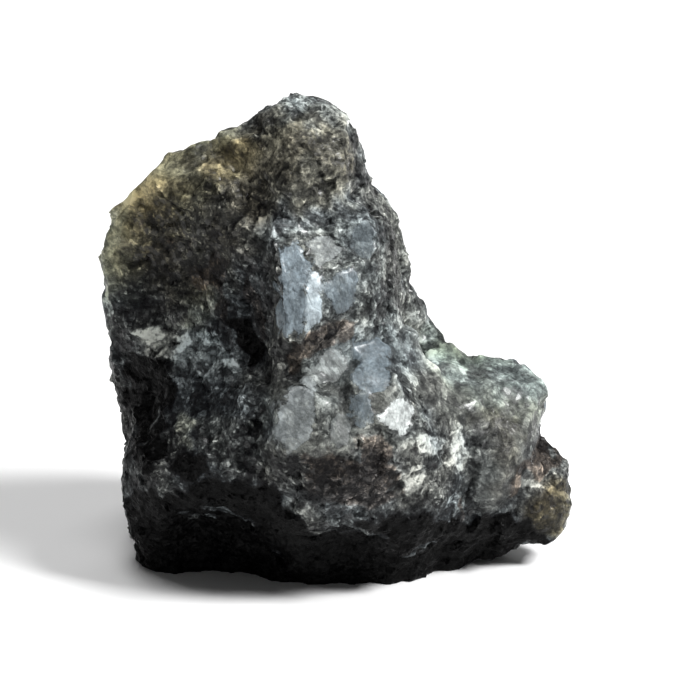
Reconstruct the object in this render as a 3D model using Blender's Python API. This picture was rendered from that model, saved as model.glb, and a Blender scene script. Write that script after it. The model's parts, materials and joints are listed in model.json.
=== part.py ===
"""Rough labradorite chunk: one broken lump of feldspar rock that stands on a cleavage face.

The lump is the union of a few convex masses, each given by the corners of its fracture faces. Shell-shaped
scoops are broken out of it, its skin is broken into grain facets, lumps and pits, and it is cut flat underneath.
X runs to the right of the broad front, +Y to the back, +Z up. Corners, radii and depths are in millimetres.
"""

import math
import random

import bmesh
import bpy
from mathutils import Matrix, Vector, noise

MM = 0.001  # one millimetre in metres
SIZE_MM = Vector((52.0, 38.0, 54.0))  # width, depth and height of the finished chunk
FINAL_TRIANGLES = 10000  # before the flat cut, which takes some away
SKIN_VOXEL_MM = 0.45  # grain of the mesh that carries the roughness
SHARP_ANGLE = math.radians(28)
FOLD_LIMIT = math.radians(115)  # edges that fold more sharply than this are eased
FOLD_PASSES = 4
STONE_COLOUR = (0.085, 0.088, 0.080, 1.0)
STONE_ROUGHNESS = 0.55

# Corners of each mass. The first is the body that the others stand against.
MASSES = {
    "tower": [
        (-6, 4, 51), (-13, 3.5, 49.8), (-20.5, 3, 46.5), (-23.5, 3.5, 43), (-25.5, 4, 38), (-26.3, 5, 31),
        (-25.6, 6, 22), (-24.8, 8, 13), (-24.5, 7, -2), (-10.5, -1.5, 45.5), (-7, -6, 42), (-7, -7, 31),
        (-8, -8, 22), (-8, -6, -2), (6, -6, -2), (-21, 0, -2), (3.6, 3, 43), (6.4, 5, 38.5), (7.8, 6, 30),
        (9.4, 7, 24), (13, 3, -2), (-4, 11, 46), (4, 14, 36), (-17, 10, 41), (-22.5, 14, 20), (8, 17, 20),
        (-8, 19.5, 22), (-7, 17, -2), (9, 14, -2), (-19, 13, -2),
    ],
    "blade": [
        (-6.8, -12, 41.5), (-6.6, -13, 31), (-6.8, -12.8, 25), (-5, -5, 46), (2.5, -6.5, 43), (3.6, -8, 37),
        (3.8, -8, 29), (7, 0, 37.5), (7.6, 2, 29), (-5, 6, 44), (-5, 6, 25), (4, 6, 40), (-7.6, -6, 42),
        (-7.6, -7, 26),
    ],
    "summit": [
        (-9.5, 4, 51.4), (-6, 4, 53.4), (-1.6, 4, 53.8), (1, 3, 52.4), (2.6, 3, 49.5), (4.2, 4, 43),
        (-8.5, -2, 48), (-3.6, -4, 49.5), (1.2, -3.5, 46.5), (-4, -7, 44), (-8, 8, 49.5), (-1, 9, 49.5),
        (2, 10, 42), (-14, 3, 49.3), (-12, 5, 42),
    ],
    "bulge": [
        (-6.9, -12.8, 26), (2.9, -6, 30), (8.5, 0, 28), (-6.2, -16.7, 21.5), (0, -17.8, 19.8), (6, -15.5, 20),
        (10, -12.3, 18), (-3.4, -14.5, 8.2), (-7.2, -12.8, 11), (4.6, -14.5, 10.4), (14, -8.5, 8.3),
        (13, -6, 20), (-4, 4, 24), (10, 6, 10), (-9, -12, 16), (-4, -7.5, -2), (7, -7, -2), (11, 0, -2),
    ],
    "foot": [
        (9.6, 6, 25.3), (12.8, 5, 24.2), (16.4, 4, 23), (20, 3, 22.8), (23.4, 2, 21), (23, 0, 16.5),
        (12, -7, 20.5), (19.3, -7, 15.5), (18.5, -8, 10.5), (16.9, -7.5, 7.5), (14, 16, 16), (22, 11, 11),
        (21, 5, 4), (4, 14, 16), (6, 0, 8), (11, -2, -2), (17, 5, -2), (12, 13, -2), (4, 12, -2),
    ],
    "toe": [
        (20, -4, 13.5), (25.2, 0, 12.6), (26.4, 0, 7), (24.6, -2.5, 2.6), (18, -5, 5), (25, 5, 9),
        (19, 8, 12), (16, 0, 12), (20, 5, 0.5), (15, 0, 0), (26, 2.5, 4),
    ],
    "shelf": [
        (-21, -3, 26.2), (-16, -5, 28), (-12, -7.5, 28), (-15.7, -8.5, 24.8), (-9.5, -11.5, 26),
        (-20, -9, 20.5), (-18, -11.8, 19.4), (-12, -13.8, 18.4),
        (-22.2, -7, 10.6), (-16.4, -10.2, 11.3), (-7.5, -12.4, 11.5), (-24.8, -2, 9.5), (-24.4, -1, 15.5),
        (-18, 6, 20), (-20, 6, 8), (-5, 0, 10), (-5, -8, 22), (-22.5, 1, -2), (-17, -3, -2), (-5, -5.5, -2),
    ],
    "heel": [
        (-14, 18, 18), (-21, 15, 14), (-20, 16, 4), (-10, 20.5, 12), (-4, 20, 5), (-15, 16, -2),
        (-4, 17.5, -2), (-8, 12, 20), (-18, 8, 6), (-6, 10, 0),
    ],
}

# Cleavage plates that stand proud: centre of the face, the way it faces, width, height, and how proud.
PLATES = [
    ((-3.9, -11.4, 34.5), (0.30, -0.95, 0.05), 5.2, 12.0, 0.9),
    ((1.0, -9.4, 33.0), (0.52, -0.85, 0.05), 4.4, 6.4, 0.6),
    ((3.4, -7.2, 39.0), (0.60, -0.78, 0.15), 3.0, 6.4, 0.6),
    ((-3.8, -15.6, 22.6), (-0.12, -0.90, 0.42), 7.0, 7.4, 0.8),
    ((4.4, -13.0, 24.2), (0.28, -0.78, 0.55), 6.5, 6.6, 0.7),
    ((8.2, -13.2, 19.8), (0.45, -0.85, 0.25), 4.2, 3.4, 0.7),
    ((-16.5, -4.0, 31.5), (-0.40, -0.90, 0.12), 4.6, 5.6, 0.5),
    ((19.5, -1.8, 19.6), (0.35, -0.75, 0.55), 6.5, 5.0, 0.6),
    ((6.6, 15.2, 22.0), (0.60, 0.75, 0.30), 8.0, 7.0, 0.8),
    ((-14.0, 14.5, 30.0), (-0.45, 0.85, 0.25), 8.0, 11.0, 0.8),
    ((-23.5, 9.0, 26.0), (-0.95, 0.28, 0.10), 6.0, 9.0, 0.6),
]

# Scoops left by shell-shaped breaks: a point on the rock, the way the break faced, radius and depth.
SCOOPS = [
    ((-16, -2, 36), (-0.60, -0.78, -0.05), 26, 2.0),  # the broad left face of the tower
    ((-10.0, -6, 34), (-0.60, -0.75, -0.10), 8, 1.8),  # the valley beside the blade
    ((-23.0, -1.5, 20.5), (-0.80, -0.60, 0.05), 6, 4.0),  # the dark hollow above the shelf
    ((-1, -5.5, 47.5), (0.1, -0.90, -0.30), 9, 0.9),  # the face of the summit
    ((1, -11.5, 4.5), (0.0, -0.70, -0.70), 12, 2.8),  # the undercut below the bulge
    ((-14, -7.5, 5.5), (-0.1, -0.75, -0.65), 10, 3.0),
    ((12, -7.0, 3.0), (0.2, -0.70, -0.70), 9, 2.0),
    ((19, -4, 3), (0.2, -0.60, -0.75), 7, 1.4),  # the undercut below the toe
    ((2, 16, 32), (0.35, 0.90, 0.20), 24, 2.5),  # the back
    ((-17, 13, 34), (-0.60, 0.75, 0.35), 15, 2.0),
    ((14, 15, 10), (0.50, 0.80, 0.10), 12, 1.5),
]

PLATE_OUTLINE = [(-0.5, -0.40), (-0.42, 0.44), (-0.05, 0.5), (0.44, 0.36), (0.5, -0.22), (0.12, -0.5)]
PLATE_FOOT = 1.25  # size of a plate's sunken side, as a share of its face
PLATE_CALM = 0.12  # share of the roughness that is left on a plate
PLATE_CALM_REACH = 0.8  # how far the calm goes from a plate's centre, as a share of its mean radius
PLATE_CALM_FADE = 0.33  # and over what share it fades out
PLATE_SIDE = 0.8  # cosine beyond which a point is on a plate's side and not its face

# Grooves where two blocks of the rock meet: start, end, the way the groove opens, its width and depth.
GROOVES = [
    ((4.2, -9.5, 29.5), (-7.5, -13.5, 26.0), (0.10, -0.90, 0.45), 2.6, 2.6),  # between the blade and the bulge
    ((-7.2, -11.0, 40.0), (-8.4, -10.5, 26.0), (-0.80, -0.60, 0.0), 2.4, 1.8),  # beside the blade's edge
    ((9.6, -11.0, 21.5), (14.5, -7.5, 12.0), (0.55, -0.80, 0.10), 2.0, 1.4),  # between the bulge and the foot
    ((-20.5, -7.0, 22.5), (-9.5, -12.0, 21.5), (-0.30, -0.90, 0.20), 2.0, 1.2),  # across the shelf
]
GROOVE_SHOULDERS = (0.2, 0.8)  # where along its length a groove is at its full width
GROOVE_FLOOR = 0.6  # share of its length that a groove's deepest line has

# Small planes broken off each mass: how many for each millimetre of its span, and the deepest as a share of it.
CHIPS_PER_MM = 1.3
CHIP_SHARE = 0.028
CHIP_SEED = 5

# Grain facets, coarse to fine: mean size of a grain, how steeply its face leans and how far it stands in or out.
GRAINS = [
    (6.0, 0.13, 0.25),
    (2.8, 0.22, 0.14),
]
GRAIN_DRIFT = 0.1  # how far the grains' borders wander, as a share of their size
GRAIN_DRIFT_RATE = 1.4  # bends in a border for each grain
LUMP_SIZE_MM = 14.0
LUMP_HEIGHT_MM = 0.35


def clear_scene():
    for leftover in list(bpy.data.objects):
        bpy.data.objects.remove(leftover)


def link_mesh(name, shape):
    """A new object from a bmesh in millimetres."""
    mesh = bpy.data.meshes.new(name)
    shape.to_mesh(mesh)
    shape.free()
    made = bpy.data.objects.new(name, mesh)
    bpy.context.scene.collection.objects.link(made)
    return made


def convex_mass(corners):
    shape = bmesh.new()
    for corner in corners:
        shape.verts.new(corner)
    hull = bmesh.ops.convex_hull(shape, input=shape.verts)
    inside = [item for item in hull["geom_interior"] if isinstance(item, bmesh.types.BMVert)]
    bmesh.ops.delete(shape, geom=inside, context="VERTS")
    bmesh.ops.recalc_face_normals(shape, faces=shape.faces)
    return shape


def chip(shape, dice):
    """Breaks flat chips off the corners and edges of a convex body."""
    span = max((v.co - w.co).length for v in shape.verts for w in shape.verts)
    for _ in range(round(span * CHIPS_PER_MM)):
        facing = Vector((dice.gauss(0, 1), dice.gauss(0, 1), dice.gauss(0, 1))).normalized()
        corner = max((v.co for v in shape.verts), key=facing.dot)
        depth = span * CHIP_SHARE * dice.random() ** 2
        bmesh.ops.bisect_plane(
            shape,
            geom=shape.verts[:] + shape.edges[:] + shape.faces[:],
            dist=1e-4,
            plane_co=corner - facing * depth,
            plane_no=facing,
            clear_outer=True,
        )
        rim = [edge for edge in shape.edges if edge.is_boundary]
        bmesh.ops.holes_fill(shape, edges=rim)
    return shape


def plate(centre, facing, width, height, proud):
    """A thin six-sided slab, sunk in the rock but for its outer face, with its edges sloped."""
    facing = Vector(facing).normalized()
    across = Vector((0, 0, 1)).cross(facing).normalized()
    up = facing.cross(across)
    corners = []
    for reach, level in ((1.0, proud), (PLATE_FOOT, -3 * proud)):
        for side, rise in PLATE_OUTLINE:
            corner = across * side * width * reach + up * rise * height * reach
            corners.append(Vector(centre) + corner + facing * level)
    return convex_mass(corners)


def groove(start, end, opening, width, depth):
    """A wedge that is deepest along its middle line and runs out at both ends."""
    start, end, opening = Vector(start), Vector(end), Vector(opening).normalized()
    across = (end - start).cross(opening).normalized() * width / 2
    middle = (start + end) / 2
    corners = [start + opening * depth, end + opening * depth]
    for side in (across, -across):
        corners += [start.lerp(end, share) + side + opening * depth for share in GROOVE_SHOULDERS]
    corners += [middle.lerp(tip, GROOVE_FLOOR) - opening * depth for tip in (start, end)]
    return convex_mass(corners)


def scoop_cutter(point, facing, radius, depth):
    shape = bmesh.new()
    centre = Vector(point) + Vector(facing).normalized() * (radius - depth)
    bmesh.ops.create_icosphere(shape, subdivisions=4, radius=radius, matrix=Matrix.Translation(centre))
    return link_mesh("scoop", shape)


def apply_modifiers(target):
    graph = bpy.context.evaluated_depsgraph_get()
    done = bpy.data.meshes.new_from_object(target.evaluated_get(graph))
    target.modifiers.clear()
    target.data = done


def boolean(target, other, operation):
    join = target.modifiers.new(operation.lower(), "BOOLEAN")
    join.operation = operation
    join.object = other
    apply_modifiers(target)
    bpy.data.objects.remove(other)


def remesh(target, voxel):
    skin = target.modifiers.new("skin", "REMESH")
    skin.mode = "VOXEL"
    skin.voxel_size = voxel
    apply_modifiers(target)


def block_out():
    """The joined masses with the scoops broken out, as one plain faceted body."""
    dice = random.Random(CHIP_SEED)
    masses = [link_mesh(name, chip(convex_mass(corners), dice)) for name, corners in MASSES.items()]
    chunk = masses[0]
    chunk.name = "labradorite_chunk"
    for mass in masses[1:]:
        boolean(chunk, mass, "UNION")
    for slab in PLATES:
        boolean(chunk, link_mesh("plate", plate(*slab)), "UNION")
    for scoop in SCOOPS:
        boolean(chunk, scoop_cutter(*scoop), "DIFFERENCE")
    for line in GROOVES:
        boolean(chunk, link_mesh("groove", groove(*line)), "DIFFERENCE")
    return chunk


def drift(point):
    """A smooth random vector for a place, the same in every run."""
    return Vector([noise.noise(point + Vector((apart, 0, -apart))) for apart in (0.0, 31.7, 73.1)])


def grain_height(point, size, lean, step):
    """Height of a skin broken into grains: each grain's face is flat, leans its own way and stands in or out."""
    warped = point + drift(point / size * GRAIN_DRIFT_RATE) * (GRAIN_DRIFT * size)
    seed = Vector(noise.voronoi(warped / size)[1][0])
    own = noise.cell_vector(seed * 9.7 + Vector((40.5, 40.5, 40.5))) * 2 - Vector((1, 1, 1))
    return (warped - seed * size).dot(own) * lean + own.z * step


def roughness_left(point, facing):
    """1 on broken rock, and PLATE_CALM on a cleavage plate."""
    left = 1.0
    for centre, outward, width, height, proud in PLATES:
        offset = point - Vector(centre)
        outward = Vector(outward).normalized()
        level = offset.dot(outward)
        if abs(level) > 3 * proud or facing.dot(outward) < PLATE_SIDE:
            continue
        mean_radius = math.sqrt(width * height) / 2
        across = (offset - outward * level).length / mean_radius
        left = min(left, max(PLATE_CALM, (across - PLATE_CALM_REACH) / PLATE_CALM_FADE))
    return left


def roughen(target):
    """Moves the skin in and out along its own normals."""
    moved = []
    for vertex in target.data.vertices:
        point = vertex.co
        height = noise.fractal(point / LUMP_SIZE_MM, 1.0, 2.0, 3) * LUMP_HEIGHT_MM
        for size, lean, step in GRAINS:
            height += grain_height(point, size, lean, step)
        moved.append(point + vertex.normal * height * roughness_left(point, vertex.normal))
    for vertex, place in zip(target.data.vertices, moved):
        vertex.co = place


def thin_out(target, triangles):
    """Fewer triangles where the rock is flat, and as many as before along its edges."""
    reduce = target.modifiers.new("thin", "DECIMATE")
    reduce.ratio = triangles / (2 * len(target.data.polygons))
    reduce.use_collapse_triangulate = True
    apply_modifiers(target)


def keep_largest_skin(shape):
    """Drops the slivers that the flat cut can leave beside the rock's own skin."""
    unseen = set(shape.verts)
    skins = []
    while unseen:
        skin = {unseen.pop()}
        front = list(skin)
        while front:
            near = {edge.other_vert(vert) for vert in front for edge in vert.link_edges} & unseen
            unseen -= near
            skin |= near
            front = list(near)
        skins.append(skin)
    skins.sort(key=len)
    for sliver in skins[:-1]:
        bmesh.ops.delete(shape, geom=list(sliver), context="VERTS")


def ease_folds(shape):
    """Draws in the points of needle-like folds, which thinning can leave."""
    for _ in range(FOLD_PASSES):
        sharp = [edge for edge in shape.edges if edge.calc_face_angle(0) > FOLD_LIMIT]
        folded = {vert for edge in sharp for vert in edge.verts}
        bmesh.ops.smooth_vert(
            shape, verts=list(folded), factor=0.6, use_axis_x=True, use_axis_y=True, use_axis_z=True
        )


def cut_flat(target):
    """The cleavage face that the chunk stands on, at Z = 0."""
    shape = bmesh.new()
    shape.from_mesh(target.data)
    ease_folds(shape)
    bmesh.ops.bisect_plane(
        shape,
        geom=shape.verts[:] + shape.edges[:] + shape.faces[:],
        dist=1e-3,
        plane_co=(0, 0, 0),
        plane_no=(0, 0, -1),
        clear_outer=True,
    )
    rim = [edge for edge in shape.edges if edge.is_boundary]
    bmesh.ops.holes_fill(shape, edges=rim)
    bmesh.ops.triangulate(shape, faces=shape.faces[:])
    keep_largest_skin(shape)
    shape.to_mesh(target.data)
    shape.free()


def fit_to_size(target):
    """Brings the chunk to its driving size in metres, with the middle of its box's underside at the origin."""
    corners = [Vector(corner) for corner in target.bound_box]
    low = Vector([min(corner[axis] for corner in corners) for axis in range(3)])
    high = Vector([max(corner[axis] for corner in corners) for axis in range(3)])
    middle = Vector(((low.x + high.x) / 2, (low.y + high.y) / 2, low.z))
    stretch = Matrix.Diagonal([SIZE_MM[axis] * MM / (high[axis] - low[axis]) for axis in range(3)])
    target.data.transform(stretch.to_4x4() @ Matrix.Translation(-middle))


def labradorite():
    made = bpy.data.materials.new("labradorite")
    made.use_nodes = True
    surface = made.node_tree.nodes["Principled BSDF"]
    surface.inputs["Base Color"].default_value = STONE_COLOUR
    surface.inputs["Roughness"].default_value = STONE_ROUGHNESS
    surface.inputs["Metallic"].default_value = 0.0
    return made


def main():
    clear_scene()
    chunk = block_out()
    remesh(chunk, SKIN_VOXEL_MM)
    roughen(chunk)
    remesh(chunk, SKIN_VOXEL_MM)
    thin_out(chunk, FINAL_TRIANGLES)
    cut_flat(chunk)
    fit_to_size(chunk)
    chunk.data.shade_smooth()
    chunk.data.set_sharp_from_angle(angle=SHARP_ANGLE)
    chunk.data.materials.append(labradorite())
    print(len(chunk.data.polygons), "triangles")
    return chunk


if __name__ == "__main__":
    main()
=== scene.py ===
import json
import math

import bpy
import numpy as np
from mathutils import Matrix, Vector, noise

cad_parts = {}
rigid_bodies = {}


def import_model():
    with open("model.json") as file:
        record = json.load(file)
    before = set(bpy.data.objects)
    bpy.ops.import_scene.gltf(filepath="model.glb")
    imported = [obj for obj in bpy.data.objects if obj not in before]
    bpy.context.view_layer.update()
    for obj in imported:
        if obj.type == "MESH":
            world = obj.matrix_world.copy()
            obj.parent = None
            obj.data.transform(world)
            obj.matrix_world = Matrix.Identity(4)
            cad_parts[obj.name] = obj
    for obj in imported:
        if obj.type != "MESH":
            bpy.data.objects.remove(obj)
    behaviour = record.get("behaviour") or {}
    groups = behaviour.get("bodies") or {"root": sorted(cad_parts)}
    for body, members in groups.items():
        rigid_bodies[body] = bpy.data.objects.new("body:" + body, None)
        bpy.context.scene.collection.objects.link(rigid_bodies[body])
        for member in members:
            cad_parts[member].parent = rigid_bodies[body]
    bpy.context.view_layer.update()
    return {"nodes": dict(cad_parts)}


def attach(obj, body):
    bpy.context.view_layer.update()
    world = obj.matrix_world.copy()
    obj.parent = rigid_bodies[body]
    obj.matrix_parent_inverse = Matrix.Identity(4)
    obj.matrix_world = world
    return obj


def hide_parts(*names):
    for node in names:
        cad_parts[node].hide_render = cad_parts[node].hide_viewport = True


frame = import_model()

mm = 0.001


def deselectAll():
    for thing in bpy.context.view_layer.objects:
        thing.select_set(False)


def makeActive(thing):
    deselectAll()
    thing.select_set(True)
    bpy.context.view_layer.objects.active = thing


def applyModifier(thing, kind, **settings):
    makeActive(thing)
    added = thing.modifiers.new(kind.lower(), kind)
    for name, value in settings.items():
        setattr(added, name, value)
    bpy.ops.object.modifier_apply(modifier=added.name)


def readPoints(mesh, what="co"):
    values = np.empty(len(mesh.vertices) * 3, np.float32)
    mesh.vertices.foreach_get(what, values)
    return values.reshape(-1, 3).astype(float)


def writePoints(mesh, points):
    mesh.vertices.foreach_set("co", points.astype(np.float32).ravel())
    mesh.update()


def ease(low, high, value):
    share = np.clip((value - low) / (high - low), 0, 1)
    return share * share * (3 - 2 * share)


# lengths here are in mm
stoneShape = {
    "grid": 0.33,               # side of the skin's faces
    "wear": 2,                  # rounds of smoothing that take the saw-tooth off the grid
    "broadRounds": 4,           # rounds of smoothing that give the broad slope of the skin
    "breaks": {                 # flat breaks: mean width, how flat, how far each leans, drop between them
        "block": (5.6, 0.55, 0.12, 0.12),
        "facet": (2.4, 0.45, 0.20, 0.12),
    },
    "breakBend": 0.16,          # how far the borders of breaks and grains stray from straight
    "grainBend": 0.12,
    "cleavedShare": 0.20,       # share of the breaks that are clean and flat
    "cleavedFlat": 0.90,
    "breakLimit": 0.7,          # furthest that a break moves the skin
    "grain": (1.0, 0.20, 0.05), # crushed grain between the flats: size, lean, drop
    "restEdge": (0.3, 0.9),     # heights between which breaks and grain set in, so that it rests flat
    "calmHold": 0.6,            # how far calm ground is spared the breaks
    "smoothGrounds": ["oliveAndGlow", "glowingRim", "amber", "calm"],
    "smoothShare": 0.7,         # how much of the grain these lose
    "plateFlat": 0.85,
    "plateRise": 0.08,
    "plateDepth": (3.0, 2.4),   # ground this far off a plate's plane is left where it is
    "ridges": {"fineRidge": 2, "broadRidge": 14},   # rounds of smoothing that each is measured against
    "unwrapRounding": 40,
    "unwrapAngle": 62,          # in degrees
}

# Soft pushes on the worn outline, seen from the front: the middle, the reach, and how far across and up.
pushes = [
    ((-25.5, 34.2), (5.0, 8.0), (-1.2, 0.0)),       # left flank
    ((-24.1, 38.3), (3.5, 3.5), (-1.0, 0.1)),
    ((-10.4, 49.4), (2.6, 2.6), (0.8, -0.95)),      # left shoulder of the summit, and the shelf below it
    ((-15.2, 46.3), (2.2, 2.0), (-0.3, 0.9)),
    ((1.0, 49.9), (2.6, 2.4), (-0.8, -0.9)),        # right shoulder of the summit
    ((3.1, 45.3), (2.0, 2.2), (-1.1, 0.0)),
    ((5.8, 38.8), (2.0, 2.0), (0.5, 0.0)),          # right edge of the tower
    ((9.2, 27.2), (2.0, 2.0), (0.8, 0.6)),
    ((14.9, 23.6), (2.4, 2.4), (-0.2, -1.1)),       # top of the foot
    ((14.4, 22.9), (1.5, 1.6), (0.0, -0.8)),
]

# A view from one side: degrees round from the front, degrees up, and how squarely a surface must face it.
views = {
    "front": (0, 20, 0.0),
    "right": (90, 20, 0.45),
    "back": (180, 20, 0.45),
    "left": (270, 20, 0.45),
}

# Cleavage plates, pale blue partly from their own colour and partly a painted sheen: view, how pale, how
# blue, how far the streaks lean, how clear, and the corners in mm.
plates = [
    # on the blade-like edge, and beside it
    ("front", 0.25, 0.9, 8, 0.90, [(-6.5, 34.2), (-5.1, 35.2), (-3.4, 34.2), (-2.7, 32.3), (-3.4, 30.8),
                                   (-3.9, 25.5), (-6.0, 24.1), (-6.7, 27.0)]),
    ("front", 0.40, 0.7, 14, 0.88, [(-3.4, 31.8), (-2.2, 31.6), (-1.7, 29.9), (-2.2, 26.5), (-3.6, 25.1),
                                    (-3.9, 27.5)]),
    ("front", 0.34, 0.3, -30, 0.55, [(-3.9, 34.7), (-2.7, 35.7), (-1.2, 35.4), (-0.2, 34.2), (-1.4, 33.0),
                                     (-2.2, 32.3), (-3.1, 33.0)]),
    ("front", 0.17, 0.9, 10, 0.80, [(-1.0, 31.6), (0.7, 32.3), (1.9, 31.3), (1.9, 29.4), (1.2, 27.7),
                                    (-0.5, 27.2), (-1.4, 29.2)]),
    ("front", 0.20, 0.8, 25, 0.45, [(1.4, 36.6), (2.9, 37.4), (3.9, 35.7), (3.1, 33.0), (1.9, 33.0)]),
    # on the bulge
    ("front", 0.20, 1.0, -20, 0.72, [(1.2, 22.9), (2.2, 24.3), (3.9, 24.6), (5.3, 23.6), (5.5, 21.2),
                                     (4.6, 19.0), (2.7, 18.8), (1.2, 20.5)]),
    ("front", 0.20, 1.0, 5, 0.60, [(1.0, 18.3), (2.4, 19.0), (3.6, 18.1), (3.4, 16.1), (2.2, 15.2),
                                   (1.0, 16.1)]),
    ("front", 0.26, 0.2, 20, 0.50, [(-3.6, 21.4), (-1.9, 23.4), (0.5, 23.9), (0.7, 21.2), (-0.2, 19.5),
                                    (-2.2, 19.8), (-3.4, 20.5)]),
    ("front", 0.24, 0.4, 38, 0.72, [(-7.2, 17.6), (-5.3, 19.5), (-2.9, 20.0), (-2.4, 17.6), (-3.4, 13.5),
                                    (-5.3, 12.0), (-7.0, 13.3)]),
    ("front", 0.12, 0.3, 25, 0.55, [(-1.0, 14.9), (0.2, 15.9), (1.4, 15.2), (1.0, 13.3), (-0.2, 12.5),
                                    (-1.0, 13.3)]),
    ("front", 0.52, 0.2, -40, 0.88, [(4.1, 16.1), (4.8, 18.1), (6.5, 18.8), (8.0, 17.4), (8.0, 15.2),
                                     (6.7, 14.2), (5.1, 14.5)]),
    # round the sides and the back
    ("right", 0.18, 0.9, 0, 0.75, [(0.4, 13.8), (2.6, 15.4), (4.2, 14.2), (4.0, 9.6), (1.8, 8.0),
                                   (0.2, 9.8)]),
    ("right", 0.30, 0.6, 0, 0.75, [(4.4, 14.6), (6.2, 13.4), (6.0, 10.6), (4.3, 10.0)]),
    ("right", 0.14, 0.5, 0, 0.75, [(5.2, 35.4), (6.8, 36.8), (8.2, 34.4), (7.4, 28.4), (5.6, 27.8),
                                   (4.6, 31.2)]),
    ("right", 0.22, 0.7, 0, 0.75, [(8.4, 33.4), (9.8, 32.0), (9.4, 29.2), (7.9, 29.0)]),
    ("right", 0.28, 0.3, 0, 0.75, [(7.0, 20.6), (9.4, 21.4), (10.6, 19.0), (9.0, 16.8), (6.8, 17.6)]),
    ("back", 0.15, 0.9, 12, 0.75, [(-8.6, 17.6), (-6.9, 19.6), (-5.2, 18.8), (-5.0, 14.0), (-6.6, 10.8),
                                   (-8.8, 12.8)]),
    ("back", 0.30, 0.6, 8, 0.75, [(-4.7, 19.2), (-2.8, 18.8), (-2.4, 14.8), (-4.4, 12.8)]),
    ("back", 0.12, 0.9, -15, 0.75, [(11.2, 27.4), (13.8, 29.6), (16.0, 27.8), (15.6, 21.4), (13.0, 18.2),
                                    (11.4, 20.8)]),
    ("back", 0.22, 0.8, -10, 0.75, [(16.4, 27.0), (18.8, 25.4), (18.4, 21.0), (16.1, 20.0)]),
    ("back", 0.15, 0.4, 30, 0.75, [(1.6, 32.6), (4.2, 34.4), (5.2, 31.4), (4.6, 27.4), (2.2, 26.6)]),
    ("back", 0.27, 0.3, 25, 0.75, [(5.6, 32.0), (7.8, 31.2), (7.6, 28.0), (5.1, 27.8)]),
    ("left", 0.14, 0.8, 0, 0.75, [(-12.2, 18.8), (-9.2, 21.0), (-6.6, 19.2), (-6.8, 14.2), (-9.6, 11.8),
                                  (-12.0, 14.4)]),
    ("left", 0.24, 0.5, 0, 0.75, [(-6.2, 20.0), (-4.2, 18.6), (-4.6, 15.2), (-6.4, 14.8)]),
    ("left", 0.20, 0.6, 0, 0.75, [(-11.4, 29.0), (-8.8, 30.8), (-7.2, 27.4), (-7.8, 23.4), (-10.6, 23.0)]),
]
plateLook = ("plateSheenTone", "plateBlue", "plateLean", "plateClear")

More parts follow.
